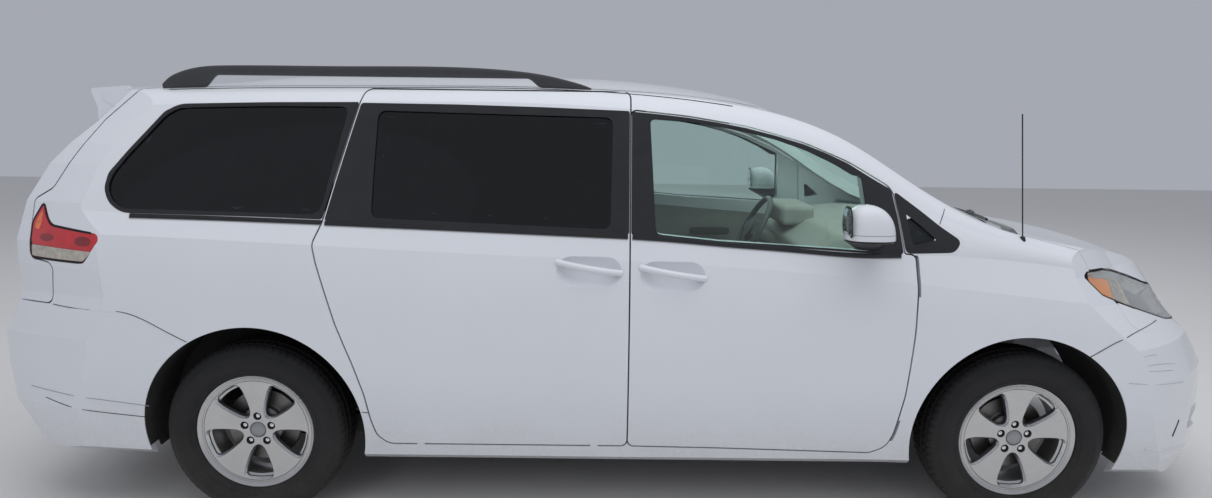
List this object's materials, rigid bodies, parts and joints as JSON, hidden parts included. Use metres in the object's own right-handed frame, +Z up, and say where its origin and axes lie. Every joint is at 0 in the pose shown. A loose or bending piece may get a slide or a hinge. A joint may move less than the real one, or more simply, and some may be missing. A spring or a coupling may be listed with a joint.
{
  "type": "minivan",
  "caption": "Five-door minivan with sliding rear side doors, raised roof rails, glazed cabin with three seat rows, steered front wheels and lifting tailgate.",
  "frame": {"origin": "on the ground under the middle of the bounding box", "axes": "+X towards the nose, +Y to the car's left, +Z up"},
  "size_m": [5.085, 2.276, 1.7992],
  "materials": {
    "body_paint": "gloss",
    "clear_glass": "gloss",
    "dark_glass": "gloss",
    "lamp_lens": "gloss",
    "red_lens": "gloss",
    "bright_trim": "gloss",
    "black_plastic": "satin",
    "dark_steel": "satin",
    "cast_metal": "matte",
    "exhaust_steel": "satin",
    "cabin_plastic": "matte",
    "cabin_leather": "satin",
    "seat_cloth": "matte",
    "wheel_alloy": "satin",
    "tyre_rubber": "matte"
  },
  "bodies": {
    "car_body": {"body_side_left": "body_paint", "body_side_right": "body_paint", "roof_panel": "body_paint", "fenders": "body_paint", "front_bumper": "body_paint", "rear_bumper": "body_paint", "sliding_doors": "body_paint", "windscreen": "clear_glass", "side_glass": "dark_glass", "headlamps": "lamp_lens", "tail_lamps": "red_lens", "grille": "bright_trim", "roof_rails": "black_plastic", "antenna": "black_plastic", "wipers": "black_plastic", "arch_liners": "black_plastic", "bulkhead": "black_plastic", "floor_pan": "dark_steel", "front_suspension": "dark_steel", "rear_axle": "dark_steel", "engine": "cast_metal", "exhaust": "exhaust_steel", "fuel_tank": "black_plastic", "dashboard": "cabin_plastic", "front_seats": "seat_cloth", "middle_seats": "seat_cloth", "rear_seat": "seat_cloth"},
    "front_door_left": {"front_door_left": "body_paint", "door_glass_left": "clear_glass", "mirror_left": "body_paint"},
    "front_door_right": {"front_door_right": "body_paint", "door_glass_right": "clear_glass", "mirror_right": "body_paint"},
    "liftgate": {"liftgate": "body_paint", "liftgate_glass": "dark_glass"},
    "hood": {"hood": "body_paint"},
    "fuel_lid": {"fuel_lid": "body_paint"},
    "steering_wheel": {"steering_wheel": "cabin_leather"},
    "knuckle_left": {"knuckle_left": "dark_steel"},
    "knuckle_right": {"knuckle_right": "dark_steel"},
    "wheel_front_left": {"rim_front_left": "wheel_alloy", "tyre_front_left": "tyre_rubber"},
    "wheel_rear_left": {"rim_rear_left": "wheel_alloy", "tyre_rear_left": "tyre_rubber"},
    "wheel_front_right": {"rim_front_right": "wheel_alloy", "tyre_front_right": "tyre_rubber"},
    "wheel_rear_right": {"rim_rear_right": "wheel_alloy", "tyre_rear_right": "tyre_rubber"}
  },
  "joints": [
    {"name": "front_door_left_hinge", "type": "hinge", "parent": "car_body", "child": "front_door_left", "pos_m": [1.0305, 0.965, 0.65], "axis": [0, 0, -1], "range_deg": [0, 65]},
    {"name": "front_door_right_hinge", "type": "hinge", "parent": "car_body", "child": "front_door_right", "pos_m": [1.0305, -0.965, 0.65], "axis": [0, 0, 1], "range_deg": [0, 65]},
    {"name": "liftgate_hinge", "type": "hinge", "parent": "car_body", "child": "liftgate", "pos_m": [-1.9755, 0, 1.722], "axis": [0, 1, 0], "range_deg": [0, 85]},
    {"name": "hood_hinge", "type": "hinge", "parent": "car_body", "child": "hood", "pos_m": [1.5005, 0, 1.125], "axis": [0, -1, 0], "range_deg": [0, 42]},
    {"name": "fuel_lid_hinge", "type": "hinge", "parent": "car_body", "child": "fuel_lid", "pos_m": [-1.2845, 0.956, 0.955], "axis": [0, 0.0995, -0.995], "range_deg": [0, 90]},
    {"name": "steer_left", "type": "hinge", "parent": "car_body", "child": "knuckle_left", "pos_m": [1.5425, 0.79, 0.357], "axis": [0, 0, 1], "range_deg": [-35, 35]},
    {"name": "steer_right", "type": "hinge", "parent": "car_body", "child": "knuckle_right", "pos_m": [1.5425, -0.79, 0.357], "axis": [0, 0, 1], "range_deg": [-35, 35]},
    {"name": "steering_wheel_turn", "type": "hinge", "parent": "car_body", "child": "steering_wheel", "pos_m": [0.6925, 0.385, 1.01], "axis": [-0.8829, 0, 0.4695], "range_deg": [-525, 525]},
    {"name": "wheel_front_left_spin", "type": "hinge", "parent": "knuckle_left", "child": "wheel_front_left", "pos_m": [1.5425, 0.86, 0.357], "axis": [0, 1, 0], "continuous": true},
    {"name": "wheel_rear_left_spin", "type": "hinge", "parent": "car_body", "child": "wheel_rear_left", "pos_m": [-1.4875, 0.86, 0.357], "axis": [0, 1, 0], "continuous": true},
    {"name": "wheel_front_right_spin", "type": "hinge", "parent": "knuckle_right", "child": "wheel_front_right", "pos_m": [1.5425, -0.86, 0.357], "axis": [0, 1, 0], "continuous": true},
    {"name": "wheel_rear_right_spin", "type": "hinge", "parent": "car_body", "child": "wheel_rear_right", "pos_m": [-1.4875, -0.86, 0.357], "axis": [0, 1, 0], "continuous": true}
  ],
  "couplings": [
    {"joint": "steer_right", "follows": "steer_left", "ratio": 1},
    {"joint": "steering_wheel_turn", "follows": "steer_left", "ratio": 15}
  ]
}
